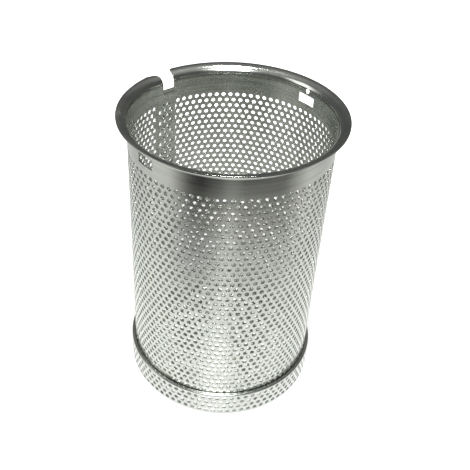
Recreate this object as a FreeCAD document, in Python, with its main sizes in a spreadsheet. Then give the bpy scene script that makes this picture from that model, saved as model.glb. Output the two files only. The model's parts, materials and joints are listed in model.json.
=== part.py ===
import FreeCAD, Part
import Sketcher
import math
import os

# Basket strainer for a pipeline strainer housing: a rolled, perforated shell with a flared hanging lip,
# and a pressed, perforated bottom cup whose rim is turned in over the shell's foot flange.
# Millimetres. +Z is up, the origin is the centre of the underside of the cup.
# Plan angles are in degrees from +X, anticlockwise seen from above. The two slots lie on the X axis.

Vector = FreeCAD.Vector
UP = Vector(0, 0, 1)
ORIGIN = Vector(0, 0, 0)

SIZES = [
    ("sheet", 1.0, "thickness of both pressings"),
    ("overall_height", 215.2, "underside of the cup to the top of the lip"),
    ("wall_radius", 67.7, "outer radius of the shell's wall"),
    ("lip_radius", 74.4, "outer radius of the hanging lip"),
    ("flare_radius", 5.9, "bend radius on the lip's lower side"),
    ("band_depth", 19.7, "lip top to the start of the perforated wall"),
    ("hole_diameter", 3.0, "punched hole"),
    ("hole_pitch", 5.0, "staggered pitch of the shell's holes"),
    ("hole_rows", 40, "rows of holes in the shell"),
    ("free_margin", 3.0, "free end of the outer layer to the first hole's centre"),
    ("joggle_margin", 1.8, "joggle to the nearest hole's centre"),
    ("lap_end", 97.9, "plan angle of the outer layer's free end"),
    ("joggle_start", 102.0, "plan angle where the wall starts to step inwards"),
    ("joggle_end", 100.8, "plan angle where the inner layer starts"),
    ("lap_inner", 87.4, "plan angle of the inner layer's free end"),
    ("lap_gap", 0.05, "clearance between the lapped layers"),
    ("slot_width", 14.3, "width of each handle slot"),
    ("slot_height", 6.8, "height of each handle slot"),
    ("slot_depth", 11.9, "lip top to the centre of a slot"),
    ("eye_diameter", 3.6, "hole above each slot, in the root of the flare"),
    ("eye_depth", 5.7, "lip top to the centre of that hole"),
    ("notch_start", 87.55, "plan angle of the notch's end of the outer layer"),
    ("notch_end", 96.45, "plan angle of the notch's other end"),
    ("notch_depth", 10.9, "lip top to the top of the lapped outer layer"),
    ("inner_depth", 13.3, "lip top to the top of the lapped inner layer"),
    ("near_corner", 2.5, "rounding of the lip's corner over the outer layer"),
    ("far_corner", 6.0, "rounding of the lip's corner over the inner layer"),
    ("foot_radius", 69.4, "outer radius of the shell's foot flange"),
    ("foot_bend", 0.5, "bend radius on the foot flange's upper side"),
    ("cup_radius", 70.7, "outer radius of the bottom cup"),
    ("cup_height", 22.2, "height of the bottom cup"),
    ("cup_corner", 3.2, "outer radius of the cup's bottom corner"),
    ("rim_bend", 1.2, "outer radius of the cup's turned-in rim"),
    ("rim_bore", 68.3, "radius of the opening in the turned-in rim"),
    ("cup_pitch", 5.25, "staggered pitch of the cup's holes"),
    ("cup_rows", 4, "rows of holes in the cup's wall"),
    ("cup_columns", 84, "holes in each row of the cup's wall"),
    ("cup_first_row", 5.2, "height of the lowest row in the cup's wall"),
    ("floor_field", 63.5, "largest centre radius of the floor's holes"),
    ("weld_gap", 0.1, "gap that the projection welds bridge"),
    ("weld_diameter", 0.9, "diameter of each projection weld"),
    ("weld_count", 24, "projection welds round the rim"),
    ("tack_length", 3.0, "length of each tack weld on the lap seam"),
    ("tack_width", 1.0, "width of each tack weld"),
    ("tack_count", 9, "tack welds down the lap seam"),
]


def make_sheet(document):
    sheet = document.addObject("Spreadsheet::Sheet", "Sizes")
    for row, (alias, value, meaning) in enumerate(SIZES, start=1):
        sheet.set(f"A{row}", alias)
        sheet.set(f"B{row}", str(value))
        sheet.set(f"C{row}", meaning)
        sheet.setAlias(f"B{row}", alias)
    document.recompute()
    return sheet


def at(radius, angle, height=0.0):
    turn = math.radians(angle)
    return Vector(radius * math.cos(turn), radius * math.sin(turn), height)


def plan_arc(radius, start, end, height):
    angles = (start, (start + end) / 2, end)
    return Part.Arc(*[at(radius, angle, height) for angle in angles]).toShape()


def plan_line(radius_a, angle_a, radius_b, angle_b, height):
    return Part.makeLine(at(radius_a, angle_a, height), at(radius_b, angle_b, height))


def stagger(row, pitch):
    return pitch / 2 if row % 2 else 0.0


class RolledSheet:
    """The shell's sheet: it runs clockwise from the outer layer's free end, steps inwards over a short
    joggle once it has come round, and ends as the inner layer of the lap."""

    def __init__(self, sheet):
        self.outer = sheet.wall_radius
        self.inner = self.outer - sheet.sheet
        self.strip_outer = self.inner - sheet.lap_gap
        self.strip_inner = self.strip_outer - sheet.sheet
        self.step = self.outer - self.strip_outer
        self.joggle_start = sheet.joggle_start - 360
        self.joggle_end = sheet.joggle_end - 360

    def outline(self, height, start, end):
        """Closed plan outline of the sheet, from its start angle round to the inner layer's end."""
        return Part.Wire([
            plan_arc(self.outer, start, self.joggle_start, height),
            plan_line(self.outer, self.joggle_start, self.strip_outer, self.joggle_end, height),
            plan_arc(self.strip_outer, self.joggle_end, end, height),
            plan_line(self.strip_outer, end, self.strip_inner, end, height),
            plan_arc(self.strip_inner, end, self.joggle_end, height),
            plan_line(self.strip_inner, self.joggle_end, self.inner, self.joggle_start, height),
            plan_arc(self.inner, self.joggle_start, start, height),
            plan_line(self.inner, start, self.outer, start, height),
        ])

    def slab(self, bottom, top, start, end):
        return Part.Face(self.outline(bottom, start, end)).extrude(UP * (top - bottom))


def hole_edge(wall_radius, hole_radius, angle, height):
    """Rim of a radial hole where it meets a wall of this radius: a smooth closed curve through points
    that lie exactly on both cylinders."""
    points = []
    for k in range(8):
        turn = 2 * math.pi * k / 8
        side = hole_radius * math.cos(turn)
        reach = math.sqrt(wall_radius ** 2 - side ** 2)
        point = Vector(reach, side, height + hole_radius * math.sin(turn))
        points.append(FreeCAD.Rotation(UP, angle).multVec(point))
    curve = Part.BSplineCurve()
    curve.interpolate(Points=points, PeriodicFlag=True)
    return curve.toShape()


def punch_faces(block, radii, angles, hole_radius, height):
    """Punches radial holes through the two coaxial faces of a block that have these radii.
    Gives the two punched faces and the walls of the holes."""
    skins = []
    rims = []
    for radius in radii:
        skin = next(f for f in block.Faces if "Cylinder" in f.Surface.TypeId
                    and abs(f.Surface.Radius - radius) < 1e-6).copy()
        edges = [hole_edge(radius, hole_radius, angle, height) for angle in angles]
        skin.cutHoles([Part.Wire(edge) for edge in edges])
        skin.validate()
        skins.append(skin)
        rims.append(edges)
    walls = [Part.makeRuledSurface(a, b) for a, b in zip(*rims)]
    return skins + walls


def make_wall(sheet):
    """The perforated wall, as one shell of faces, row by row. Each row is a ring one row pitch high."""
    roll = RolledSheet(sheet)
    start, end = sheet.lap_end, sheet.lap_inner - 360
    row_pitch = sheet.hole_pitch * math.sqrt(3) / 2
    bottom = sheet.overall_height - sheet.band_depth - sheet.hole_rows * row_pitch
    hole_radius = sheet.hole_diameter / 2
    main_radius = roll.outer - sheet.sheet / 2
    strip_radius = roll.strip_outer - sheet.sheet / 2
    main_step = math.degrees(sheet.hole_pitch / main_radius)
    strip_step = math.degrees(sheet.hole_pitch / strip_radius)
    free_margin = math.degrees(sheet.free_margin / main_radius)
    joggle_margin = math.degrees(sheet.joggle_margin / strip_radius)

    rings = []
    for row in range(2):
        block = roll.slab(bottom, bottom + row_pitch, start, end)
        height = bottom + row_pitch / 2
        first = start - free_margin - (main_step / 2 if row else 0)
        count = int((first - roll.joggle_start - joggle_margin) / main_step) + 1
        main = [first - k * main_step for k in range(count)]
        strip_first = roll.joggle_end - joggle_margin - (strip_step / 2 if row else 0)
        strip_count = int((strip_first - end - joggle_margin) / strip_step) + 1
        strip = [strip_first - k * strip_step for k in range(strip_count)]
        faces = punch_faces(block, (roll.outer, roll.inner), main, hole_radius, height)
        faces += punch_faces(block, (roll.strip_outer, roll.strip_inner), strip, hole_radius, height)
        plain = []
        for face in block.Faces:
            surface = face.Surface
            if "Plane" in surface.TypeId and abs(surface.Axis.z) < 0.5:
                plain.append(face)
        rings.append(faces + plain)

    faces = []
    for row in range(int(sheet.hole_rows)):
        for face in rings[row % 2]:
            moved = face.copy()
            moved.translate(UP * (row * row_pitch))
            faces.append(moved)
    top = bottom + sheet.hole_rows * row_pitch
    faces.append(Part.Face(roll.outline(bottom, start, end)))
    faces.append(Part.Face(roll.outline(top, start, end)))
    skin = Part.makeShell(faces)
    skin.sewShape()
    wall = Part.makeSolid(skin)
    if wall.Volume < 0:
        wall.reverse()
    return wall


def add_shape(document, name, shape):
    """A document object whose shape is worked out in code from the sheet's sizes."""
    feature = document.addObject("Part::Feature", name)
    feature.Label = name
    feature.Shape = shape
    feature.Placement = FreeCAD.Placement()
    return feature


def flare_profile(sheet, shift):
    """Section of the flared lip in the XZ plane, moved inwards by shift."""
    outer = sheet.wall_radius - shift
    low = sheet.flare_radius
    high = low + sheet.sheet
    top = sheet.overall_height
    centre = Vector(outer + low, 0, top - high)
    edge = sheet.lip_radius - shift
    slant = math.sqrt(0.5)

    def bend(radius, a, b):
        middle = centre + Vector(-radius * slant, 0, radius * slant)
        return Part.Arc(a, middle, b).toShape()

    low_foot = Vector(outer, 0, centre.z)
    low_head = Vector(centre.x, 0, top - sheet.sheet)
    high_foot = Vector(outer - sheet.sheet, 0, centre.z)
    high_head = Vector(centre.x, 0, top)
    low_edge = Vector(edge, 0, top - sheet.sheet)
    high_edge = Vector(edge, 0, top)
    return Part.Wire([
        bend(low, low_foot, low_head),
        Part.makeLine(low_head, low_edge),
        Part.makeLine(low_edge, high_edge),
        Part.makeLine(high_edge, high_head),
        bend(high, high_head, high_foot),
        Part.makeLine(high_foot, low_foot),
    ])


def turned(shape, angle):
    copy = shape.copy()
    copy.rotate(ORIGIN, UP, angle)
    return copy


def swept(profile, start, end):
    """The profile swept round the axis, clockwise from start to end."""
    return Part.Face(turned(profile, end)).revolve(ORIGIN, UP, start - end)


def make_band(sheet):
    """The plain band and the flared lip, with the lap's stepped ends under the notch."""
    roll = RolledSheet(sheet)
    top = sheet.overall_height
    bottom = top - sheet.band_depth
    inner_top = top - sheet.inner_depth
    outer_top = top - sheet.notch_depth
    flare_foot = top - sheet.flare_radius - sheet.sheet
    notch_end = sheet.notch_end - 360
    slabs = [
        roll.slab(bottom, inner_top, sheet.lap_end, sheet.lap_inner - 360),
        roll.slab(inner_top, outer_top, sheet.lap_end, notch_end),
        roll.slab(outer_top, flare_foot, sheet.notch_start, notch_end),
    ]
    outer_lip = flare_profile(sheet, 0.0)
    inner_lip = flare_profile(sheet, roll.step)
    joggle = Part.makeLoft(
        [turned(outer_lip, roll.joggle_start), turned(inner_lip, roll.joggle_end)], True, True
    )
    lip = [
        swept(outer_lip, sheet.notch_start, roll.joggle_start),
        joggle,
        swept(inner_lip, roll.joggle_end, notch_end),
    ]
    return slabs[0].fuse(slabs[1:] + lip).removeSplitter()


def make_foot(sheet):
    """The plain foot of the shell and its flange, which sits under the cup's turned-in rim."""
    roll = RolledSheet(sheet)
    row_pitch = sheet.hole_pitch * math.sqrt(3) / 2
    wall_bottom = sheet.overall_height - sheet.band_depth - sheet.hole_rows * row_pitch
    flange_top = sheet.cup_height - sheet.sheet - sheet.weld_gap
    flange_bottom = flange_top - sheet.sheet
    high = sheet.foot_bend
    low = high + sheet.sheet
    centre = Vector(roll.outer + high, 0, flange_top + high)
    slant = math.sqrt(0.5)

    def bend(radius, a, b):
        middle = centre - Vector(radius * slant, 0, radius * slant)
        return Part.Arc(a, middle, b).toShape()

    c = {
        "inner_top": Vector(roll.inner, 0, wall_bottom),
        "outer_top": Vector(roll.outer, 0, wall_bottom),
        "outer_bend": Vector(roll.outer, 0, centre.z),
        "flange_root": Vector(centre.x, 0, flange_top),
        "flange_edge": Vector(sheet.foot_radius, 0, flange_top),
        "flange_under": Vector(sheet.foot_radius, 0, flange_bottom),
        "under_root": Vector(centre.x, 0, flange_bottom),
        "inner_bend": Vector(roll.inner, 0, centre.z),
    }
    profile = Part.Wire([
        Part.makeLine(c["inner_top"], c["outer_top"]),
        Part.makeLine(c["outer_top"], c["outer_bend"]),
        bend(high, c["outer_bend"], c["flange_root"]),
        Part.makeLine(c["flange_root"], c["flange_edge"]),
        Part.makeLine(c["flange_edge"], c["flange_under"]),
        Part.makeLine(c["flange_under"], c["under_root"]),
        bend(low, c["under_root"], c["inner_bend"]),
        Part.makeLine(c["inner_bend"], c["inner_top"]),
    ])
    return swept(profile, sheet.lap_end, roll.joggle_start)


def add_boolean(document, kind, name):
    """A boolean that keeps its faces as they are: merging faces across thousands of holes is very slow."""
    feature = document.addObject(kind, name)
    feature.Label = name
    feature.Refine = False
    return feature


def add_box(document, name, length, width, height, x, y, z):
    """A box whose sizes and centre are expressions of the sheet's cells."""
    box = document.addObject("Part::Box", name)
    box.setExpression("Length", length)
    box.setExpression("Width", width)
    box.setExpression("Height", height)
    box.setExpression("Placement.Base.x", x)
    box.setExpression("Placement.Base.y", y)
    box.setExpression("Placement.Base.z", z)
    return box


def add_lip_tools(document):
    """Punches through the band: a slot and an eye on each side, along X."""
    slot = add_box(
        document, "slot_punch", "2 * Sizes.lip_radius", "Sizes.slot_width", "Sizes.slot_height",
        "-Sizes.lip_radius", "-Sizes.slot_width / 2",
        "Sizes.overall_height - Sizes.slot_depth - Sizes.slot_height / 2",
    )
    eye = document.addObject("Part::Cylinder", "eye_punch")
    eye.setExpression("Radius", "Sizes.eye_diameter / 2")
    eye.setExpression("Height", "2 * Sizes.lip_radius")
    eye.setExpression("Placement.Base.x", "-Sizes.lip_radius")
    eye.setExpression("Placement.Base.z", "Sizes.overall_height - Sizes.eye_depth")
    eye.Placement.Rotation = FreeCAD.Rotation(Vector(0, 1, 0), 90)
    return [slot, eye]


def corner_tool(angle, side, edge_radius, size, sheet):
    """Waste outside a rounded corner of the lip. Side is +1 where the lip runs anticlockwise from here."""
    slack = 1.0
    height = sheet.flare_radius + sheet.sheet + slack
    low = sheet.overall_height - height + slack / 2
    block = Part.makeBox(size + slack, size + slack, height, Vector(edge_radius - size, -slack, low))
    disc = Part.makeCylinder(size, height, Vector(edge_radius - size, size, low))
    waste = block.cut(disc)
    if side < 0:
        waste = waste.mirror(ORIGIN, Vector(0, 1, 0))
    waste.rotate(ORIGIN, UP, angle)
    return waste


def make_shell(document, sheet):
    roll = RolledSheet(sheet)
    band = add_shape(document, "plain_band_blank", make_band(sheet))
    corners = Part.makeCompound([
        corner_tool(sheet.notch_start, -1, sheet.lip_radius, sheet.near_corner, sheet),
        corner_tool(sheet.notch_end, 1, sheet.lip_radius - roll.step, sheet.far_corner, sheet),
    ])
    tools = add_boolean(document, "Part::MultiFuse", "band_tools")
    tools.Shapes = add_lip_tools(document) + [add_shape(document, "lip_corner_waste", corners)]
    cut_band = add_boolean(document, "Part::Cut", "plain_band")
    cut_band.Base = band
    cut_band.Tool = tools
    shell = add_boolean(document, "Part::MultiFuse", "perforated_shell")
    shell.Shapes = [
        cut_band,
        add_shape(document, "perforated_wall", make_wall(sheet)),
        add_shape(document, "foot_flange", make_foot(sheet)),
    ]
    return shell


def origin_plane(body, role):
    return next(f for f in body.Origin.OriginFeatures if f.Role == role)


def add_cup_sketch(body, sheet):
    """Half section of the cup, from the floor's centre out, up the wall and in over the rim."""
    sketch = body.newObject("Sketcher::SketchObject", "cup_section")
    sketch.AttachmentSupport = [(origin_plane(body, "XZ_Plane"), "")]
    sketch.MapMode = "FlatFace"
    thick, radius, height = sheet.sheet, sheet.cup_radius, sheet.cup_height
    corner, bend, bore = sheet.cup_corner, sheet.rim_bend, sheet.rim_bore

    def line(x1, y1, x2, y2):
        return sketch.addGeometry(Part.LineSegment(Vector(x1, y1, 0), Vector(x2, y2, 0)), False)

    def arc(x, y, size, start, end):
        circle = Part.Circle(Vector(x, y, 0), UP, size)
        return sketch.addGeometry(
            Part.ArcOfCircle(circle, math.radians(start), math.radians(end)), False
        )

    under = line(0, 0, radius - corner, 0)
    outer_corner = arc(radius - corner, corner, corner, 270, 360)
    outer_wall = line(radius, corner, radius, height - bend)
    outer_rim = arc(radius - bend, height - bend, bend, 0, 90)
    rim_top = line(radius - bend, height, bore, height)
    rim_edge = line(bore, height, bore, height - thick)
    rim_under = line(bore, height - thick, radius - bend, height - thick)
    inner_rim = arc(radius - bend, height - bend, bend - thick, 0, 90)
    inner_wall = line(radius - thick, height - bend, radius - thick, corner)
    inner_corner = arc(radius - corner, corner, corner - thick, 270, 360)
    floor = line(radius - corner, thick, 0, thick)
    axis = line(0, thick, 0, 0)

    def tie(kind, *items):
        return sketch.addConstraint(Sketcher.Constraint(kind, *items))

    start, end = 1, 2
    tie("Tangent", under, end, outer_corner, start)
    tie("Tangent", outer_corner, end, outer_wall, start)
    tie("Tangent", outer_wall, end, outer_rim, start)
    tie("Tangent", outer_rim, end, rim_top, start)
    tie("Coincident", rim_top, end, rim_edge, start)
    tie("Coincident", rim_edge, end, rim_under, start)
    tie("Tangent", rim_under, end, inner_rim, end)
    tie("Tangent", inner_rim, start, inner_wall, start)
    tie("Tangent", inner_wall, end, inner_corner, end)
    tie("Tangent", inner_corner, start, floor, start)
    tie("Coincident", floor, end, axis, start)
    tie("Coincident", axis, end, under, start)
    tie("Coincident", under, start, -1, 1)
    tie("Horizontal", under)
    tie("Vertical", outer_wall)
    tie("Horizontal", rim_top)
    tie("Vertical", rim_edge)
    tie("Vertical", axis)
    tie("Coincident", outer_corner, 3, inner_corner, 3)
    tie("Coincident", outer_rim, 3, inner_rim, 3)

    def drive(name, expression, constraint):
        sketch.renameConstraint(constraint, name)
        sketch.setExpression(f"Constraints.{name}", expression)

    drive("corner", "Sizes.cup_corner", tie("Radius", outer_corner, corner))
    drive("inner_corner", "Sizes.cup_corner - Sizes.sheet", tie("Radius", inner_corner, corner - thick))
    drive("bend", "Sizes.rim_bend", tie("Radius", outer_rim, bend))
    drive("inner_bend", "Sizes.rim_bend - Sizes.sheet", tie("Radius", inner_rim, bend - thick))
    drive("wall", "Sizes.cup_radius", tie("DistanceX", -1, 1, outer_wall, start, radius))
    drive("rim", "Sizes.cup_height", tie("DistanceY", -1, 1, rim_top, end, height))
    drive("bore", "Sizes.rim_bore", tie("DistanceX", -1, 1, rim_top, end, bore))
    return sketch


def make_cup_blank(document, sheet):
    body = document.addObject("PartDesign::Body", "cup_blank")
    sketch = add_cup_sketch(body, sheet)
    document.recompute()
    turn = body.newObject("PartDesign::Revolution", "cup_turn")
    turn.Profile = sketch
    turn.ReferenceAxis = (sketch, ["V_Axis"])
    turn.Angle = 360.0
    document.recompute()
    return body


def floor_centres(sheet):
    """Staggered hole centres across the floor. The axis falls midway between three holes."""
    pitch = sheet.cup_pitch
    row_pitch = pitch * math.sqrt(3) / 2
    reach = int(sheet.floor_field / row_pitch) + 2
    centres = []
    for row in range(-reach, reach + 1):
        y = (row + 1 / 3) * row_pitch
        for column in range(-reach, reach + 1):
            x = column * pitch + stagger(row, pitch)
            if math.hypot(x, y) <= sheet.floor_field:
                centres.append(Vector(x, y, 0))
    return centres


def make_cup_punches(sheet):
    punch = sheet.hole_diameter / 2
    throw = 3 * sheet.sheet
    punches = [
        Part.makeCylinder(punch, throw, centre - UP * sheet.sheet, UP) for centre in floor_centres(sheet)
    ]
    columns = int(sheet.cup_columns)
    row_pitch = sheet.cup_pitch * math.sqrt(3) / 2
    for row in range(int(sheet.cup_rows)):
        height = sheet.cup_first_row + row * row_pitch
        for column in range(columns):
            angle = (column + stagger(row, 1)) * 360 / columns
            base = at(sheet.cup_radius - 2 * sheet.sheet, angle, height)
            punches.append(Part.makeCylinder(punch, throw, base, at(1.0, angle)))
    return Part.makeCompound(punches)


def make_cup(document, sheet):
    cup = add_boolean(document, "Part::Cut", "bottom_cup")
    cup.Base = make_cup_blank(document, sheet)
    cup.Tool = add_shape(document, "cup_punches", make_cup_punches(sheet))
    return cup


def make_rim_welds(document, sheet):
    """Projection welds between the underside of the cup's rim and the shell's foot flange."""
    radius = (sheet.rim_bore + sheet.foot_radius) / 2
    height = sheet.cup_height - sheet.sheet - sheet.weld_gap
    count = int(sheet.weld_count)
    step = 360 / count
    first = sheet.lap_end + step / 2
    discs = [
        Part.makeCylinder(sheet.weld_diameter / 2, sheet.weld_gap, at(radius, first + k * step, height))
        for k in range(count)
    ]
    return add_shape(document, "rim_projection_welds", Part.makeCompound(discs))


def make_seam_welds(document, sheet):
    """Tack welds on the outside of the lap, in the corner between the outer layer's free end and the
    inner layer. They stop just under the wall's outer radius."""
    roll = RolledSheet(sheet)
    top = sheet.overall_height - sheet.inner_depth - sheet.tack_length
    row_pitch = sheet.hole_pitch * math.sqrt(3) / 2
    bottom = sheet.overall_height - sheet.band_depth - sheet.hole_rows * row_pitch + sheet.tack_length
    outer = roll.outer - sheet.lap_gap
    start = sheet.lap_end
    end = start + math.degrees(sheet.tack_width / roll.outer)
    count = int(sheet.tack_count)
    beads = []
    for k in range(count):
        height = bottom + (top - bottom - sheet.tack_length) * k / (count - 1)
        section = Part.Wire([
            plan_arc(outer, start, end, height),
            plan_line(outer, end, roll.strip_outer, end, height),
            plan_arc(roll.strip_outer, end, start, height),
            plan_line(roll.strip_outer, start, outer, start, height),
        ])
        beads.append(Part.Face(section).extrude(UP * sheet.tack_length))
    return add_shape(document, "seam_tack_welds", Part.makeCompound(beads))


def check(document, nodes):
    for item in document.Objects:
        if "Invalid" in item.State or "Error" in item.State:
            raise RuntimeError(f"{item.Name} failed: {item.State}")
    for node in nodes:
        shape = node.Shape
        if shape.isNull() or not shape.isValid() or not shape.Solids:
            raise RuntimeError(f"{node.Label} has no valid solid")


def main():
    document = FreeCAD.newDocument("basket_strainer")
    sheet = make_sheet(document)
    nodes = [
        make_shell(document, sheet),
        make_cup(document, sheet),
        make_seam_welds(document, sheet),
        make_rim_welds(document, sheet),
    ]
    document.recompute()
    check(document, nodes)
    os.makedirs("parts", exist_ok=True)
    for node in nodes:
        node.Shape.exportStep(os.path.join("parts", node.Label + ".step"))
        print(node.Label, len(node.Shape.Solids), "solids", len(node.Shape.Faces), "faces",
              round(node.Shape.Volume, 1), "mm3")


main()
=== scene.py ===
import json
import math

import bpy
import numpy as np
from mathutils import Matrix, Vector
from mathutils.geometry import delaunay_2d_cdt

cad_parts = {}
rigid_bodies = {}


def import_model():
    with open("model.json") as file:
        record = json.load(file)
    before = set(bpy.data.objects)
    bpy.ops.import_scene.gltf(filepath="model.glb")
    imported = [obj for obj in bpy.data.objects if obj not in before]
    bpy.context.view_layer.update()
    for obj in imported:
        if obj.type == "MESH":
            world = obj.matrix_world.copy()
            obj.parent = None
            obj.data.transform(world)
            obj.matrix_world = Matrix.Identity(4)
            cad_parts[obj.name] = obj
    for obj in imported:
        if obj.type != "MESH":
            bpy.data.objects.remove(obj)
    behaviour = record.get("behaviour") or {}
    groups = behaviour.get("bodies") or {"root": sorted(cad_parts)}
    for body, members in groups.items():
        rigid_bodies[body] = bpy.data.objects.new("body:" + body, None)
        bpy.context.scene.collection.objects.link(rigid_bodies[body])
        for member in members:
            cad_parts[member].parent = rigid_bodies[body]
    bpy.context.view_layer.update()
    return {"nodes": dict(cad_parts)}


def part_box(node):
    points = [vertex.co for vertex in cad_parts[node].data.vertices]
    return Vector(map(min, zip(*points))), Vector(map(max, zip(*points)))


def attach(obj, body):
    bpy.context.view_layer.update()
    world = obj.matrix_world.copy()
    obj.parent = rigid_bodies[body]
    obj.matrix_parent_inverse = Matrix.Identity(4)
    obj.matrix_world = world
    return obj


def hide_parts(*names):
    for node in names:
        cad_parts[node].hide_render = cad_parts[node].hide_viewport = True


# Basket strainer in stainless sheet. Sizes are millimetres in the row's frame, plan angles are degrees
# anticlockwise from +X, and meshes are scaled to metres when they are made.

for starter in list(bpy.data.objects):
    bpy.data.objects.remove(starter)

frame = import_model()

MM = 0.001
shell_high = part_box("perforated_shell")[1] / MM
cup_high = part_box("bottom_cup")[1] / MM

SHEET = 1.0
EDGE = 0.17  # rounding of every cut edge
HOLE = 3.0

LIP_TOP = shell_high.z
LIP_RADIUS = 74.4
WALL = 67.7
FLARE = 5.9
BAND_DEPTH = 19.7
PITCH = 5.0
ROWS = 40
FREE_MARGIN = 3.0
JOGGLE_MARGIN = 1.8
LAP_END = 97.9
JOGGLE_START = 102.0 - 360
JOGGLE_END = 100.8 - 360
LAP_INNER = 87.4 - 360
LAP_GAP = 0.05
NOTCH_START = 87.55
NOTCH_END = 96.45 - 360
NOTCH_DEPTH = 10.9
INNER_DEPTH = 13.3
NEAR_CORNER = 2.5
FAR_CORNER = 6.0
SLOT_WIDTH = 14.3
SLOT_HEIGHT = 6.8
SLOT_DEPTH = 11.9
EYE = 3.6
EYE_DEPTH = 5.7
FOOT_RADIUS = 69.4
FOOT_BEND = 0.5
WELD_GAP = 0.1
TACK_LENGTH = 3.0
TACK_WIDTH = 1.0
TACKS = 9

CUP_TOP = cup_high.z
CUP_RADIUS = cup_high.x
CUP_CORNER = 3.2
RIM_BEND = 1.2
RIM_BORE = 68.3
CUP_PITCH = 5.25
CUP_ROWS = 4
CUP_COLUMNS = 84
CUP_FIRST_ROW = 5.2
FLOOR_FIELD = 63.5

STEP = SHEET + LAP_GAP
ROW_PITCH = PITCH * math.sqrt(3) / 2
WALL_TOP = LIP_TOP - BAND_DEPTH
WALL_BOTTOM = WALL_TOP - ROWS * ROW_PITCH
FLARE_FOOT = LIP_TOP - FLARE - SHEET
FLARE_CENTRE = WALL + FLARE
MAIN_MIDDLE = WALL - SHEET / 2
STRIP_MIDDLE = MAIN_MIDDLE - STEP
CUP_ROW_PITCH = CUP_PITCH * math.sqrt(3) / 2

# A hole's cell is ACROSS by UP grid squares. RING lists the nodes round it, anticlockwise from the right,
# and TURNS the same number of places round the hole.
ACROSS, UP = 6, 4
RING = np.array(
    [(0, 2), (0, 3)] + [(i, UP) for i in range(ACROSS)] + [(ACROSS, j) for j in range(UP, 0, -1)]
    + [(i, 0) for i in range(ACROSS, 0, -1)] + [(0, 0), (0, 1)]
)
TURNS = np.arange(len(RING)) * 2 * math.pi / len(RING)

# Grid rows of the shell: its foot flange, then these heights, then shares of the way over the flare.
SLOT_LOW = LIP_TOP - SLOT_DEPTH - SLOT_HEIGHT / 2
SLOT_HIGH = SLOT_LOW + SLOT_HEIGHT
INNER_TOP = LIP_TOP - INNER_DEPTH
OUTER_TOP = LIP_TOP - NOTCH_DEPTH
EYE_LOW = (SLOT_HIGH + LIP_TOP - EYE_DEPTH - EYE / 2) / 2
WALL_HEIGHTS = WALL_BOTTOM + np.arange(ROWS * UP + 1) * ROW_PITCH / UP
HEIGHTS = np.concatenate([
    WALL_HEIGHTS, np.linspace(WALL_TOP, SLOT_LOW, 4)[1:],
    [INNER_TOP, OUTER_TOP, SLOT_HIGH, EYE_LOW, FLARE_FOOT],
])
FOOT_TURNS = np.radians([90, 60, 30, 0])
FOOT_ROWS = 1 + len(FOOT_TURNS)
FLARE_SHARES = np.array([15, 28, 42, 56, 70, 80, 90, 95, 100]) / 100
ROW_OF = {height: FOOT_ROWS + k for k, height in enumerate(HEIGHTS)}

# Grid columns from a slot's centre to its side, from there to where the columns keep their own angles again,
# from an eye's centre to its side, and from each side of the notch to where the columns keep their angles.
SLOT_REACH = 9
SLOT_BLEND = 24
EYE_REACH = ACROSS // 2
NEAR_BLEND, FAR_BLEND = 16, 20

# The stage, in metres and radians. FRONT is the plan angle of the side that faces the camera.
FRONT = math.radians(-131.5)
CAMERA_FRONT = 5.826 * WALL * MM
CAMERA_HEIGHT = (LIP_TOP + 3.126 * WALL) * MM
LENS, SENSOR = 53.16, 36.0
LENS_SHIFT = (0.1021, 0.0040)
PAN, TILT, ROLL = -0.0705, 0.6729, 0.0147
FLOOR_REACH = 6.0

# The floor as the steel mirrors it, a pool of light with darker sectors painted into its glow: how bright it
# is near the basket, midway and far off, and where those are. Each sector is a bearing to the right of the
# camera's side, a half width and a softness, in degrees, and how much darker it is.
POOL_NEAR, POOL_EDGE, POOL_FAR = 1.3, 0.78, 0.6
NEAR, MIDWAY, FAR = 0.11, 0.36, 0.9
SECTORS = (
    (13, 60, 14, 0.93), (-32, 17, 10, 0.85), (115, 20, 15, 0.2), (-115, 15, 12, 0.2), (178, 22, 12, 0.45),
    (-150, 10, 8, 0.3), (4, 7, 4, -0.9),
)
SECTOR_START, SECTOR_FULL = 0.165, 0.40

# The floor as the camera sees it: its own glow near the basket and away from it, and a soft shadow of the
# basket painted into that glow behind it.
GLOW_NEAR, GLOW_FAR = 0.42, 0.95
# How much of the floor's glow the painted shadow behind the basket takes away.
PAINTED_SHADE = 0.55

# The room round the steel, and the directions (as a height, 0 level and 1 straight up) where its ceiling
# begins and is fully lit.
ROOM, CEILING = 0.105, 0.26
CEILING_LOW, CEILING_HIGH = 0.55, 0.85

STEEL_ROUGHNESS = 0.19


def spin(radius, angle, height):
    """Points from cylindrical coordinates."""
    turn = np.radians(angle)
    return np.stack(np.broadcast_arrays(radius * np.cos(turn), radius * np.sin(turn), height), axis=-1)


def unit(vectors):
    return vectors / np.maximum(np.linalg.norm(vectors, axis=-1, keepdims=True), 1e-12)


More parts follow.
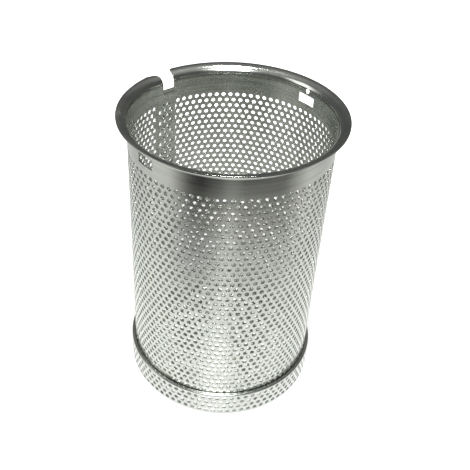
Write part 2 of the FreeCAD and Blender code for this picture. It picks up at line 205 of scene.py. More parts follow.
class Sheet:
    """Sheet metal: one surface whose every point knows its place on both sides of the sheet."""

    def __init__(self):
        self.points = ([], [], [])
        self.faces = []
        self.size = 0

    def add(self, outer, inner, normal):
        """Takes points on the outer side, on the inner side and outward normals. Gives their numbers."""
        shape = outer.shape[:-1]
        for store, values in zip(self.points, (outer, inner, normal)):
            store.append(np.broadcast_to(values, outer.shape).reshape(-1, 3))
        numbers = np.arange(self.size, self.size + math.prod(shape)).reshape(shape)
        self.size += math.prod(shape)
        return numbers

    def fill(self, corners):
        """Adds faces, anticlockwise seen from the outer side."""
        self.faces.append(corners.reshape(-1, corners.shape[-1]))

    def fill_grid(self, nodes, keep):
        corners = np.stack([nodes[:-1, :-1], nodes[:-1, 1:], nodes[1:, 1:], nodes[1:, :-1]], axis=-1)
        self.fill(corners[keep])

    def fill_rings(self, border, rim):
        """Joins the nodes round each cell to the rim of its hole."""
        next_border, next_rim = np.roll(border, -1, axis=-1), np.roll(rim, -1, axis=-1)
        self.fill(np.stack([border, next_border, next_rim, rim], axis=-1))

    def thicken(self, name):
        """The solid sheet as a Blender object. Every cut edge is rounded over."""
        outer, inner, normal = (np.concatenate(part) for part in self.points)
        start = np.concatenate([face.ravel() for face in self.faces])
        end = np.concatenate([np.roll(face, -1, axis=1).ravel() for face in self.faces])
        cut = ~np.isin(start * self.size + end, end * self.size + start)
        a, b = start[cut], end[cut]

        middle = (outer + inner) / 2
        facing = unit(np.cross(middle[b] - middle[a], normal[a] + normal[b]))
        arriving, leaving = np.zeros((2, self.size), dtype=int)
        leaving[a] = np.arange(len(a))
        arriving[b] = np.arange(len(b))
        rim = np.unique(a)
        before, after = facing[arriving[rim]], facing[leaving[rim]]
        agree = np.sum(before * after, axis=1, keepdims=True)
        mitre = (before + after) / np.maximum(1 + agree, 0.2)
        corner = agree[:, 0] < math.cos(math.radians(40))

        wall_high, wall_low = outer[rim] - EDGE * normal[rim], inner[rim] + EDGE * normal[rim]
        outer[rim] -= EDGE * mitre
        inner[rim] -= EDGE * mitre
        place = np.zeros(self.size, dtype=int)
        place[rim] = np.arange(len(rim))
        high = place + 2 * self.size
        low = high + len(rim)
        soft = unit(mitre)

        def wall_normal(vertex):
            return np.where(corner[place[vertex]][:, None], facing, soft[place[vertex]])

        faces, normals = [], []
        for face in self.faces:
            faces += [face, face[:, ::-1] + self.size]
            normals += [normal[face], -normal[face[:, ::-1]]]
        at_a, at_b = wall_normal(a), wall_normal(b)
        faces += [
            np.stack([b, a, high[a], high[b]], axis=1),
            np.stack([high[b], high[a], low[a], low[b]], axis=1),
            np.stack([low[b], low[a], a + self.size, b + self.size], axis=1),
        ]
        normals += [
            np.stack([normal[b], normal[a], at_a, at_b], axis=1),
            np.stack([at_b, at_a, at_a, at_b], axis=1),
            np.stack([at_b, at_a, -normal[a], -normal[b]], axis=1),
        ]
        points = np.concatenate([outer, inner, wall_high, wall_low])
        return add_mesh(name, points, faces, normals)


def add_mesh(name, points, faces, normals=None):
    """A Blender object from points in millimetres, lists of same-sized faces and their corners' normals."""
    corners = np.concatenate([face.ravel() for face in faces])
    sizes = np.concatenate([np.full(len(face), face.shape[1]) for face in faces])
    used, corners = np.unique(corners, return_inverse=True)
    mesh = bpy.data.meshes.new(name)
    mesh.vertices.add(len(used))
    mesh.vertices.foreach_set("co", (points[used] * MM).astype(np.float32).ravel())
    mesh.loops.add(len(corners))
    mesh.loops.foreach_set("vertex_index", corners.ravel().astype(np.int32))
    mesh.polygons.add(len(sizes))
    mesh.polygons.foreach_set("loop_start", (np.cumsum(sizes) - sizes).astype(np.int32))
    mesh.update(calc_edges=True)
    mesh.polygons.foreach_set("use_smooth", np.ones(len(sizes), dtype=bool))
    if normals is not None:
        mesh.normals_split_custom_set(np.concatenate([n.reshape(-1, 3) for n in normals]))
    piece = bpy.data.objects.new(name, mesh)
    bpy.context.scene.collection.objects.link(piece)
    return piece


def column_run(first, step, end):
    """Grid columns clockwise from a plan angle by even steps, up to an end angle. The last two columns are
    not too close together."""
    angles = first - np.arange(int(360 / step) + 1) * step
    angles = np.append(angles[angles > end + 1e-6], end)
    if angles[-2] - end < 0.4 * (angles[-3] - angles[-2]):
        angles[-2] = (angles[-3] + end) / 2
    return angles


def shell_columns():
    """Plan angles of the shell's grid, clockwise from the outer layer's free end, in three runs. Each run
    with holes has a grid line at the side of its first hole's cell."""
    main_step = math.degrees(PITCH / ACROSS / MAIN_MIDDLE)
    strip_step = math.degrees(PITCH / ACROSS / STRIP_MIDDLE)
    first = LAP_END - math.degrees((FREE_MARGIN - PITCH / 2) / MAIN_MIDDLE)
    main = np.append(LAP_END, column_run(first, main_step, JOGGLE_START))
    joggle = np.linspace(JOGGLE_START, JOGGLE_END, 4)[1:]
    first = JOGGLE_END - math.degrees((JOGGLE_MARGIN - PITCH / 2) / STRIP_MIDDLE)
    strip = column_run(first, strip_step, LAP_INNER)
    return main, joggle, strip[strip < JOGGLE_END - strip_step / 2]


def band_columns(wall_angles):
    """The same columns moved so that they meet the slots' sides, the notch and the lip's corners."""
    lip = math.degrees(1 / LIP_RADIUS)
    half_slot = math.degrees(math.asin(SLOT_WIDTH / 2 / WALL))
    fixed = {}
    centres = []
    for angle in (0, -180):
        k = int(np.argmin(abs(wall_angles - angle)))
        centres.append(k)
        fixed[k] = angle
        fixed[k - SLOT_REACH] = angle + half_slot
        fixed[k + SLOT_REACH] = angle - half_slot
        for column in (k - SLOT_BLEND, k + SLOT_BLEND):
            fixed[column] = wall_angles[column]
    near = int(np.argmin(abs(wall_angles - NOTCH_START)))
    far = int(np.argmin(abs(wall_angles - NOTCH_END)))
    for k, share in enumerate((0, 0.04, 0.16, 0.36, 0.64, 1.0)):
        fixed[near + k] = NOTCH_START - share * NEAR_CORNER * lip
    for k, share in enumerate((0, 0.015, 0.06, 0.14, 0.25, 0.4, 0.58, 0.79, 1.0)):
        fixed[far - k] = NOTCH_END + share * FAR_CORNER * lip
    for k in (0, near + NEAR_BLEND, far - FAR_BLEND, len(wall_angles) - 1):
        fixed[k] = wall_angles[k]
    order = sorted(fixed)
    moved = np.interp(np.arange(len(wall_angles)), order, [fixed[k] for k in order])
    return moved, centres, near, far


def lip_reach(angle, notch_angle, corner):
    """How far out the lip reaches at a plan angle, given the rounding of its corner at the notch."""
    gap = np.radians(abs(angle - notch_angle)) * LIP_RADIUS
    return LIP_RADIUS - corner + np.sqrt(corner ** 2 - np.clip(corner - gap, 0, corner) ** 2)


def flare_point(share, side, reach):
    """Radius, height and normal at a share of the way up the flare and out over the lip, for the sheet's
    side with this bend radius, where the lip reaches this far out."""
    bend_share = 0.9
    flat = LIP_RADIUS - FLARE_CENTRE
    turn_end = np.arccos(np.clip((FLARE_CENTRE - reach) / side, 0, 1)) / (math.pi / 2)
    reach_share = np.where(reach < FLARE_CENTRE, bend_share * turn_end,
                           bend_share + (1 - bend_share) * (reach - FLARE_CENTRE) / flat)
    share = share * reach_share
    turn = np.minimum(share / bend_share, 1) * math.pi / 2
    over = np.maximum(share - bend_share, 0) / (1 - bend_share) * flat
    return FLARE_CENTRE - side * np.cos(turn) + over, FLARE_FOOT + side * np.sin(turn), turn


def shell_grid(wall_angles, band_angles):
    """The shell's points on both sides of the sheet and their normals, by column and by row, from the foot
    flange's edge to the lip's edge."""
    rows = FOOT_ROWS + len(HEIGHTS) + len(FLARE_SHARES)
    band_row = FOOT_ROWS + len(WALL_HEIGHTS)
    flare_row = FOOT_ROWS + len(HEIGHTS)
    warp = np.zeros(rows)
    warp[band_row:] = 1
    warp[band_row:band_row + 2] = (1 / 3, 2 / 3)
    angle = wall_angles[:, None] + warp * (band_angles - wall_angles)[:, None]
    shift = STEP * np.clip((JOGGLE_START - angle) / (JOGGLE_START - JOGGLE_END), 0, 1)
    reach = np.minimum(lip_reach(band_angles, NOTCH_START, NEAR_CORNER),
                       lip_reach(band_angles, NOTCH_END, FAR_CORNER))
    flange_top = CUP_TOP - SHEET - WELD_GAP

    skins, turns = [], []
    for bend, offset in ((FLARE, 0.0), (FLARE + SHEET, SHEET)):
        radius = np.full((len(wall_angles), rows), WALL - offset)
        height = np.zeros_like(radius)
        turn = np.zeros_like(radius)
        foot = FOOT_BEND + offset
        radius[:, 0] = FOOT_RADIUS
        height[:, 0] = flange_top - offset
        turn[:, 0] = -math.pi / 2
        radius[:, 1:FOOT_ROWS] = WALL + FOOT_BEND - foot * np.cos(FOOT_TURNS)
        height[:, 1:FOOT_ROWS] = flange_top + FOOT_BEND - foot * np.sin(FOOT_TURNS)
        turn[:, 1:FOOT_ROWS] = -FOOT_TURNS
        height[:, FOOT_ROWS:flare_row] = HEIGHTS
        flare = flare_point(FLARE_SHARES[None, :], bend, reach[:, None])
        radius[:, flare_row:], height[:, flare_row:], turn[:, flare_row:] = flare
        skins.append(spin(radius - shift, angle, height))
        turns.append(turn)
    turn = np.mean(turns, axis=0)
    return *skins, spin(np.cos(turn), angle, -np.sin(turn))


def add_rims(sheet, outside, centres, height):
    """The rims of holes at one height in a wall with this outer radius. Gives their nodes."""
    across, up = HOLE / 2 * np.cos(TURNS), HOLE / 2 * np.sin(TURNS)
    skins = []
    for radius in (outside, outside - SHEET):
        skins.append(spin(radius, centres[:, None] + np.degrees(np.arcsin(across / radius)), height + up))
    return sheet.add(*skins, spin(1.0, centres[:, None] + np.degrees(across / outside), 0.0))


def punch_run(sheet, nodes, keep, first, middle, start, margin, end):
    """Punches a run of the shell's wall whose sheet has this middle radius, between two plan angles. The
    first hole is a margin from the start, and its cell begins at the first column."""
    step = math.degrees(PITCH / middle)
    first_centre = start - math.degrees(margin / middle)
    end_margin = math.degrees(JOGGLE_MARGIN / STRIP_MIDDLE)
    for row in range(ROWS):
        half = 0.5 * (row % 2)
        count = int((first_centre - half * step - end - end_margin) / step) + 1
        order = np.arange(count) + half
        cells = first + (order * ACROSS).astype(int)
        base = FOOT_ROWS + row * UP
        for cell in cells:
            keep[cell:cell + ACROSS, base:base + UP] = False
        height = WALL_HEIGHTS[row * UP] + ROW_PITCH / 2
        rims = add_rims(sheet, middle + SHEET / 2, first_centre - order * step, height)
        sheet.fill_rings(nodes[cells[:, None] + RING[:, 0], base + RING[:, 1]], rims)


def punch_eye(sheet, nodes, column, angle):
    """Punches the eye over a slot, through the root of the flare."""
    across = EYE / 2 * np.cos(TURNS)
    height = LIP_TOP - EYE_DEPTH + EYE / 2 * np.sin(TURNS)
    skins, turns = [], []
    for bend in (FLARE, FLARE + SHEET):
        turn = np.arcsin(np.maximum(height - FLARE_FOOT, 0) / bend)
        radius = FLARE_CENTRE - bend * np.cos(turn)
        skins.append(spin(radius, angle + np.degrees(np.arcsin(across / radius)), height))
        turns.append(turn)
    turn = np.mean(turns, axis=0)
    rim = sheet.add(*skins, spin(np.cos(turn), angle + np.degrees(across / WALL), -np.sin(turn)))
    sheet.fill_rings(nodes[column - EYE_REACH + RING[:, 0], ROW_OF[EYE_LOW] + RING[:, 1]], rim)


def make_shell():
    """The rolled, perforated shell with its lip, notch, slots, eyes, lapped seam and foot flange."""
    main, joggle, strip = shell_columns()
    wall_angles = np.concatenate([main, joggle, strip])
    band_angles, slots, notch, notch_far = band_columns(wall_angles)
    sheet = Sheet()
    nodes = sheet.add(*shell_grid(wall_angles, band_angles))

    keep = np.ones([count - 1 for count in nodes.shape], dtype=bool)
    keep[len(main) - 1:, :FOOT_ROWS] = False
    keep[:notch, ROW_OF[OUTER_TOP]:] = False
    keep[notch_far:, ROW_OF[INNER_TOP]:] = False
    for k in slots:
        keep[k - SLOT_REACH:k + SLOT_REACH, ROW_OF[SLOT_LOW]:ROW_OF[SLOT_HIGH]] = False
        keep[k - EYE_REACH:k + EYE_REACH, ROW_OF[EYE_LOW]:ROW_OF[EYE_LOW] + UP] = False

    strip_first = len(main) + len(joggle) - 2
    punch_run(sheet, nodes, keep, 1, MAIN_MIDDLE, LAP_END, FREE_MARGIN, JOGGLE_START)
    punch_run(sheet, nodes, keep, strip_first, STRIP_MIDDLE, JOGGLE_END, JOGGLE_MARGIN, LAP_INNER)
    for k in slots:
        punch_eye(sheet, nodes, k, band_angles[k])
    sheet.fill_grid(nodes, keep)
    return sheet.thicken("rolled_shell")


def floor_centres():
    """Staggered hole centres across the cup's floor. The axis falls midway between three holes."""
    reach = int(FLOOR_FIELD / CUP_ROW_PITCH) + 2
    row, column = np.mgrid[-reach:reach + 1, -reach:reach + 1]
    centres = np.stack([column * CUP_PITCH + (row % 2) * CUP_PITCH / 2,
                        (row + 1 / 3) * CUP_ROW_PITCH], axis=-1).reshape(-1, 2)
    return centres[np.hypot(*centres.T) <= FLOOR_FIELD]


def make_cup():
    """The pressed, perforated cup with its rounded bottom corner and turned-in rim."""
    columns = CUP_COLUMNS * ACROSS
    angle = -np.arange(columns) * 360 / columns
    corner_turns = np.radians(np.linspace(90, 0, 7))
    rim_turns = np.radians([0, 30, 60, 90])
    corner_centre = CUP_RADIUS - CUP_CORNER
    rim_centre = CUP_RADIUS - RIM_BEND
    lines = CUP_FIRST_ROW + (np.arange(CUP_ROWS + 1) - 0.5) * CUP_ROW_PITCH
    lines[0], lines[-1] = CUP_CORNER, CUP_TOP - RIM_BEND
    heights = np.concatenate([np.linspace(low, high, UP + 1)[:-1] for low, high in zip(lines, lines[1:])])
    base = len(corner_turns) - 1

    skins = []
    for offset in (0.0, SHEET):
        radius = np.concatenate([
            corner_centre + (CUP_CORNER - offset) * np.cos(corner_turns[:-1]),
            np.full(len(heights), CUP_RADIUS - offset),
            rim_centre + (RIM_BEND - offset) * np.cos(rim_turns),
            [RIM_BORE],
        ])
        height = np.concatenate([
            CUP_CORNER - (CUP_CORNER - offset) * np.sin(corner_turns[:-1]),
            heights,
            CUP_TOP - RIM_BEND + (RIM_BEND - offset) * np.sin(rim_turns),
            [CUP_TOP - offset],
        ])
        skins.append(spin(radius, angle[:, None], height))
    turn = np.concatenate([-corner_turns[:-1], np.zeros(len(heights)), rim_turns, [math.pi / 2]])
    sheet = Sheet()
    nodes = sheet.add(*skins, spin(np.cos(turn), angle[:, None], np.sin(turn)))
    closed = np.concatenate([nodes, nodes[:1]])

    keep = np.ones((columns, closed.shape[1] - 1), dtype=bool)
    keep[:, base:base + CUP_ROWS * UP] = False
    for row in range(CUP_ROWS):
        cells = np.arange(CUP_COLUMNS) * ACROSS + (0 if row % 2 else ACROSS // 2)
        border = nodes[(cells[:, None] + RING[:, 0]) % columns, base + row * UP + RING[:, 1]]
        centres = -(cells + ACROSS / 2) * 360 / columns
        height = CUP_FIRST_ROW + row * CUP_ROW_PITCH
        sheet.fill_rings(border, add_rims(sheet, CUP_RADIUS, centres, height))
    sheet.fill_grid(closed, keep)
    fill_floor(sheet, nodes[:, 0], corner_centre, angle)
    return sheet.thicken("bottom_cup_pressed")


def fill_floor(sheet, edge_nodes, edge_radius, edge_angle):
    """The cup's floor: a flat disc with its holes, joined to the corner's lowest ring of nodes."""
    centres = floor_centres()
    rims = centres[:, None] + HOLE / 2 * np.stack([np.cos(TURNS), np.sin(TURNS)], axis=-1)
    flat = np.concatenate([rims.reshape(-1, 2), np.zeros((len(rims) * len(TURNS), 1))], axis=1)
    rim_nodes = sheet.add(flat, flat + (0, 0, SHEET), np.array((0.0, 0.0, -1.0)))
    edge = spin(edge_radius, edge_angle, 0.0)[:, :2]
    plan = np.concatenate([edge, flat[:, :2]])
    number = np.concatenate([edge_nodes, rim_nodes])

    count = len(edge)
    bounds = [(k, (k + 1) % count) for k in range(count)]
    for start in range(count, len(plan), len(TURNS)):
        bounds += [(start + k, start + (k + 1) % len(TURNS)) for k in range(len(TURNS))]
    points, _, triangles, origin, _, _ = delaunay_2d_cdt([Vector(p) for p in plan], bounds, [], 0, 1e-6)
    triangles = np.array(triangles)
    source = np.array([items[0] for items in origin])
    middle = np.array([tuple(p) for p in points])[triangles].mean(axis=1)
    distances = np.hypot(middle[:, None, 0] - centres[:, 0], middle[:, None, 1] - centres[:, 1])
    inside_rim = HOLE / 2 * 0.97
    triangles = triangles[distances.min(axis=1) > inside_rim]
    sheet.fill(number[source[triangles]][:, ::-1])


def make_tacks():
    """Rippled beads of weld metal down the lap, one in the place of each of the frame's tack welds."""
    low, high = (np.array(corner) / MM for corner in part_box("seam_tack_welds"))
    width = math.degrees(TACK_WIDTH / WALL)
    inside, outside = WALL - STEP, WALL - LAP_GAP
    around, along = np.meshgrid(np.linspace(0, 1, 11), np.linspace(0, 1, 31), indexing="ij")
    faces, points = [], []
    grid = np.arange(around.size).reshape(around.shape)
    quads = np.stack([grid[:-1, :-1], grid[1:, :-1], grid[1:, 1:], grid[:-1, 1:]], axis=-1).reshape(-1, 4)
    for k in range(TACKS):
        bottom = low[2] + (high[2] - low[2] - TACK_LENGTH) * k / (TACKS - 1)
        end = np.sqrt(np.clip(1 - (2 * along - 1) ** 4, 0, 1))
        crown = np.sin(math.pi * around) ** 0.6 * end
        ripple = 1 - 0.12 * (0.5 + 0.5 * np.cos(2 * math.pi * (6 * along + 1.2 * (around - 0.5) ** 2)))
        radius = inside + (outside - inside) * crown * ripple
        angle = LAP_END + width * (0.5 + (around - 0.5) * np.maximum(end, 0.02))
        top = spin(radius, angle, bottom + TACK_LENGTH * along)
        base = spin(inside, angle, bottom + TACK_LENGTH * along)
        start = k * 2 * around.size
        points += [top.reshape(-1, 3), base.reshape(-1, 3)]
        faces += [quads[:, ::-1] + start, quads + start + around.size]
    return add_mesh("seam_tack_beads", np.concatenate(points), faces)


class Nodes:
    """Small helper for building the node tree of a material or a world."""

    def __init__(self, owner):
        owner.use_nodes = True
        self.tree = owner.node_tree
        self.tree.nodes.clear()

    def add(self, kind, inputs=None, **settings):
        node = self.tree.nodes.new(kind)
        for key, value in settings.items():
            setattr(node, key, value)
        for key, value in (inputs or {}).items():
            if isinstance(value, bpy.types.NodeSocket):
                self.tree.links.new(value, node.inputs[key])
            else:
                node.inputs[key].default_value = value
        return node

    def math(self, operation, a, b=0.0, c=0.0, clamp=False):
        inputs = {0: a, 1: b, 2: c}
        return self.add("ShaderNodeMath", inputs, operation=operation, use_clamp=clamp).outputs[0]

    def noise(self, vector, scale, detail=3.0, rough=0.5):
        inputs = {"Vector": vector, "Scale": scale, "Detail": detail, "Roughness": rough}
        return self.add("ShaderNodeTexNoise", inputs).outputs["Fac"]

    def scaled(self, vector, scale):
        return self.add("ShaderNodeMapping", {"Vector": vector, "Scale": scale}).outputs[0]

    def spread(self, value, low, high, to_low, to_high):
        """Maps low..high evenly to to_low..to_high, and holds it outside."""
        inputs = {"Value": value, 1: low, 2: high, 3: to_low, 4: to_high}
        return self.add("ShaderNodeMapRange", inputs).outputs[0]

    def mix(self, share, a, b):
        node = self.add("ShaderNodeMix", data_type="RGBA")
        for socket, value in ((node.inputs[0], share), (node.inputs[6], a), (node.inputs[7], b)):
            if isinstance(value, bpy.types.NodeSocket):
                self.tree.links.new(value, socket)
            else:
                socket.default_value = value
        return node.outputs[2]


def brushed_steel(name, colour, seed):
    """Rolled stainless sheet. The grain runs round the axis, over a mottled mill finish, with a few fine
    scratches."""
    material = bpy.data.materials.new(name)
    n = Nodes(material)
    place = n.add("ShaderNodeTexCoord").outputs["Object"]
    split = n.add("ShaderNodeSeparateXYZ", {0: place})
    turn = n.math("ARCTAN2", split.outputs[1], split.outputs[0])
    flat = n.math("SQRT", n.math("ADD", n.math("MULTIPLY", split.outputs[0], split.outputs[0]),
                                 n.math("MULTIPLY", split.outputs[1], split.outputs[1])))
    around = n.math("MULTIPLY", turn, WALL * MM)
    rolled = n.add("ShaderNodeCombineXYZ", {0: around, 1: split.outputs[2], 2: flat}).outputs[0]
    shifted = n.add("ShaderNodeVectorMath", {0: rolled, 1: (seed, 2 * seed, 0.0)}, operation="ADD").outputs[0]
    grain = n.noise(n.scaled(shifted, (25.0, 2600.0, 400.0)), 1.0, 4.0, 0.6)
    streak = n.noise(n.scaled(shifted, (12.0, 500.0, 60.0)), 1.0, 2.0, 0.5)
    mottle = n.noise(shifted, 55.0, 3.0, 0.55)
    haze = n.noise(shifted, 14.0, 2.0, 0.5)
    scratch = n.add("ShaderNodeTexVoronoi", {"Vector": n.scaled(shifted, (160.0, 34.0, 60.0)), "Scale": 1.0},
                    feature="DISTANCE_TO_EDGE").outputs["Distance"]
    scratch = n.spread(scratch, 0.0, 0.012, 1.0, 0.0)
    scratch = n.math("MULTIPLY", scratch, n.spread(mottle, 0.55, 0.7, 0.0, 1.0))

    dull = tuple(0.86 * c for c in colour[:3]) + (1.0,)
    warm = (colour[0] * 1.02, colour[1] * 0.99, colour[2] * 0.93, 1.0)
    tint = n.mix(n.spread(streak, 0.35, 0.65, 0.0, 1.0), dull, colour)
    tint = n.mix(n.spread(haze, 0.45, 0.7, 0.0, 0.6), tint, warm)
    tint = n.mix(n.math("MULTIPLY", scratch, 0.4), tint, (0.8, 0.8, 0.79, 1.0))
    rough = n.math("ADD", n.spread(mottle, 0.3, 0.7, STEEL_ROUGHNESS - 0.05, STEEL_ROUGHNESS + 0.06),
                   n.spread(streak, 0.3, 0.7, -0.04, 0.04))
    rough = n.math("ADD", rough, n.math("MULTIPLY", scratch, 0.12), clamp=True)

    height = n.math("ADD", n.math("MULTIPLY", grain, 0.35), n.math("MULTIPLY", streak, 0.35))
    height = n.math("SUBTRACT", height, n.math("MULTIPLY", scratch, 0.3))
    fine = n.add("ShaderNodeBump", {"Strength": 0.15, "Distance": 0.00004, "Height": height}).outputs[0]
    waves = n.add("ShaderNodeBump", {"Strength": 0.25, "Distance": 0.0006, "Height": haze, "Normal": fine})
    axis = n.add("ShaderNodeTangent", direction_type="RADIAL", axis="Z").outputs[0]
    inputs = {
        "Base Color": tint, "Metallic": 1.0, "Roughness": rough, "Normal": waves.outputs[0],
        "Anisotropic": 0.45, "Tangent": axis,
    }
    shader = n.add("ShaderNodeBsdfPrincipled", inputs)
    n.add("ShaderNodeOutputMaterial", {"Surface": shader.outputs[0]})
    return material


def weld_steel(name):
    """Weld metal: rougher and a little heat-tinted."""
    material = bpy.data.materials.new(name)
    n = Nodes(material)
    place = n.add("ShaderNodeTexCoord").outputs["Object"]
    spots = n.noise(place, 900.0, 4.0, 0.6)
    tinge = n.noise(place, 300.0, 2.0, 0.5)
    straw = n.mix(n.spread(tinge, 0.4, 0.65, 0.0, 1.0), (0.5, 0.48, 0.45, 1.0), (0.46, 0.38, 0.27, 1.0))
    bump = n.add("ShaderNodeBump", {"Strength": 0.5, "Distance": 0.0001, "Height": spots}).outputs[0]
    rough = n.spread(spots, 0.3, 0.7, 0.3, 0.5)
    inputs = {"Base Color": straw, "Metallic": 1.0, "Normal": bump, "Roughness": rough}
    shader = n.add("ShaderNodeBsdfPrincipled", inputs)
    n.add("ShaderNodeOutputMaterial", {"Surface": shader.outputs[0]})
    return material


def mirrored_light(n, split, away):
    """How bright the floor's painted glow is to the steel, by distance and bearing: a painted pool of light
    with darker sectors.
    """
    bearing = n.math("ARCTAN2", split.outputs[0], n.math("MULTIPLY", split.outputs[1], -1.0))
    # Painted reflection: a pool of light round the basket that fades with distance.
    pool = n.spread(away, NEAR, MIDWAY, POOL_NEAR, POOL_EDGE)
    pool = n.math("MULTIPLY", pool, n.spread(away, MIDWAY, FAR, 1.0, POOL_FAR))
    # Painted darker sectors in the floor the steel mirrors.
    for centre, half, soft, depth in SECTORS:
        off = n.math("ABSOLUTE", n.math("SUBTRACT", bearing, math.radians(centre)))
        inside = n.spread(off, math.radians(half - soft), math.radians(half + soft), 1.0, 0.0)
        fade = n.spread(away, SECTOR_START, SECTOR_FULL, 0.0, depth)
        pool = n.math("MULTIPLY", pool, n.math("SUBTRACT", 1.0, n.math("MULTIPLY", inside, fade)))
    return pool


def seen_light(n, split, away):
    """How much the floor glows to the camera. Behind the basket, and nowhere else, a soft shadow is painted
    into the glow.
    """
    side, behind = split.outputs[0], split.outputs[1]
    # Painted shadow: a soft wedge behind the basket where the glow is turned down.
    spread = n.math("DIVIDE", n.math("ABSOLUTE", side), n.math("ADD", behind, CAMERA_FRONT))
    shade = n.spread(spread, 0.125, 0.155, PAINTED_SHADE, 0.0)
    shade = n.math("MULTIPLY", shade, n.spread(behind, 0.0, 0.07, 0.0, 1.0))
    shade = n.math("MULTIPLY", shade, n.spread(behind, 0.34, 0.43, 1.0, 0.0))
    glow = n.spread(away, 0.09, 0.27, GLOW_NEAR, GLOW_FAR)
    return n.math("MULTIPLY", glow, n.math("SUBTRACT", 1.0, shade))


def floor_material():
    """A pale matt floor. The camera sees it evenly lit but for a shadow painted behind the basket, and the
    steel sees a painted pool of light round the basket fade with distance, most of all towards the camera."""
    material = bpy.data.materials.new("pale_floor")
    n = Nodes(material)
    place = n.add("ShaderNodeTexCoord").outputs["Object"]
    split = n.add("ShaderNodeSeparateXYZ", {0: place})
    away = n.add("ShaderNodeVectorMath", {0: place}, operation="LENGTH").outputs["Value"]
    grain = n.noise(place, 40.0, 4.0, 0.6)
    tone = n.mix(grain, (0.90, 0.90, 0.895, 1.0), (0.93, 0.93, 0.93, 1.0))
    bump = n.add("ShaderNodeBump", {"Strength": 0.1, "Distance": 0.0002, "Height": grain}).outputs[0]
    matt = n.add("ShaderNodeBsdfDiffuse", {"Color": tone, "Normal": bump})
    # The glow keeps the floor evenly pale to the camera, with a painted shadow behind the basket.
    glow = n.add("ShaderNodeEmission", {"Color": (1, 1, 1, 1), "Strength": seen_light(n, split, away)})
    seen = n.add("ShaderNodeAddShader", {0: matt.outputs[0], 1: glow.outputs[0]})
    pool = mirrored_light(n, split, away)
    # The steel sees only this painted glow, a painted pool of light, and not the lit floor.
    mirrored = n.add("ShaderNodeEmission", {"Color": (1, 1, 0.99, 1), "Strength": pool})
    glossy = n.add("ShaderNodeLightPath").outputs["Is Glossy Ray"]
    shader = n.add("ShaderNodeMixShader", {0: glossy, 1: seen.outputs[0], 2: mirrored.outputs[0]})
    n.add("ShaderNodeOutputMaterial", {"Surface": shader.outputs[0]})
    return material


def add_floor():
    """The floor. Its own -Y axis points towards the camera."""
    mesh = bpy.data.meshes.new("floor")
    corners = [(x * FLOOR_REACH, y * FLOOR_REACH, 0) for x, y in ((-1, -1), (1, -1), (1, 1), (-1, 1))]
    mesh.from_pydata(corners, [], [range(4)])
    floor = bpy.data.objects.new("floor", mesh)
    floor.data.materials.append(floor_material())
    floor.rotation_euler.z = FRONT + math.pi / 2
    bpy.context.scene.collection.objects.link(floor)


def add_world():
    """White to the camera. The steel sees a grey room under a brighter ceiling."""
    world = bpy.data.worlds.new("studio")
    n = Nodes(world)
    split = n.add("ShaderNodeSeparateXYZ", {0: n.add("ShaderNodeTexCoord").outputs["Generated"]})
    inputs = {"Value": split.outputs[2], 1: CEILING_LOW, 2: CEILING_HIGH, 3: ROOM, 4: CEILING}
    room = n.add("ShaderNodeMapRange", inputs, interpolation_type="SMOOTHSTEP").outputs[0]
    camera = n.add("ShaderNodeLightPath").outputs["Is Camera Ray"]
    others = n.math("MULTIPLY", n.math("SUBTRACT", 1.0, camera), room)
    strength = n.math("ADD", camera, others)
    background = n.add("ShaderNodeBackground", {"Color": (1, 1, 1, 1), "Strength": strength})
    n.add("ShaderNodeOutputWorld", {"Surface": background.outputs[0]})
    bpy.context.scene.world = world


def add_area(name, place, target, size, power):
    """A rectangular lamp at a place, aimed at a target, in metres and watts."""
    data = bpy.data.lights.new(name, "AREA")
    data.shape = "RECTANGLE"
    data.size, data.size_y = size
    data.energy = power
    light = bpy.data.objects.new(name, data)
    light.location = place
    light.rotation_euler = (Vector(target) - Vector(place)).to_track_quat("-Z", "Y").to_euler()
    bpy.context.scene.collection.objects.link(light)


def stage_point(side, front, height):
    """A point given by its distance to the right of the axis and towards the camera, in metres."""
    toward = Vector((math.cos(FRONT), math.sin(FRONT), 0))
    right = Vector((-math.sin(FRONT), math.cos(FRONT), 0))
    return toward * front + right * side + Vector((0, 0, height))


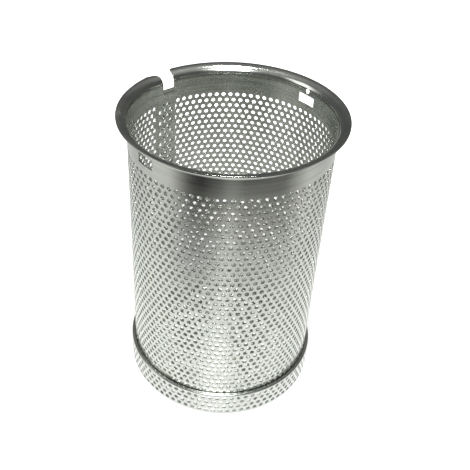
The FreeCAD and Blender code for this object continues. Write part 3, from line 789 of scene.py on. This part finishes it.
def add_camera():
    """Stands in front and above, and looks down into the basket."""
    data = bpy.data.cameras.new("camera")
    data.sensor_width = SENSOR
    data.lens = LENS
    data.shift_x, data.shift_y = LENS_SHIFT
    toward = Vector((math.cos(FRONT), math.sin(FRONT), 0))
    right = Vector((-math.sin(FRONT), math.cos(FRONT), 0))
    ahead = (right * math.sin(PAN) - toward * math.cos(PAN)) * math.cos(TILT) - Vector((0, 0, math.sin(TILT)))
    level = right * math.cos(PAN) + toward * math.sin(PAN)
    upward = level.cross(ahead)
    x_axis = level * math.cos(ROLL) + upward * math.sin(ROLL)
    y_axis = upward * math.cos(ROLL) - level * math.sin(ROLL)
    turn = Matrix((x_axis, y_axis, -ahead)).transposed()
    camera = bpy.data.objects.new("camera", data)
    place = stage_point(0, CAMERA_FRONT, CAMERA_HEIGHT)
    camera.matrix_world = Matrix.Translation(place) @ turn.to_4x4()
    bpy.context.scene.collection.objects.link(camera)
    bpy.context.scene.camera = camera


def add_lights():
    """A soft key from the front, a small lamp over the mouth and a weak fill from the left."""
    add_area("key", stage_point(0.03, 0.80, 1.15), (0, 0, 0.05), (0.45, 0.6), 12)
    add_area("mouth_light", stage_point(0, 0, 0.8), (0, 0, 0), (0.12, 0.12), 3.5)
    add_area("fill", stage_point(-1.1, 0.1, 0.9), (0, 0, 0.1), (0.6, 0.6), 2)
    bpy.context.scene.view_settings.view_transform = "Standard"


shell_steel = brushed_steel("shell_steel_brushed", (0.625, 0.65, 0.61, 1.0), 0.0)
cup_steel = brushed_steel("cup_steel_brushed", (0.65, 0.67, 0.64, 1.0), 0.37)
weld = weld_steel("weld_metal_tinted")

for make, node, slot, finish in (
    (make_shell, "perforated_shell", "shell_steel", shell_steel),
    (make_cup, "bottom_cup", "cup_steel", cup_steel),
    (make_tacks, "seam_tack_welds", "weld_metal", weld),
):
    piece = make()
    piece.data.materials.append(finish)
    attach(piece, "root")
    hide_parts(node)
for slot in frame["nodes"]["rim_projection_welds"].material_slots:
    slot.material = weld

add_camera()
add_floor()
add_world()
add_lights()
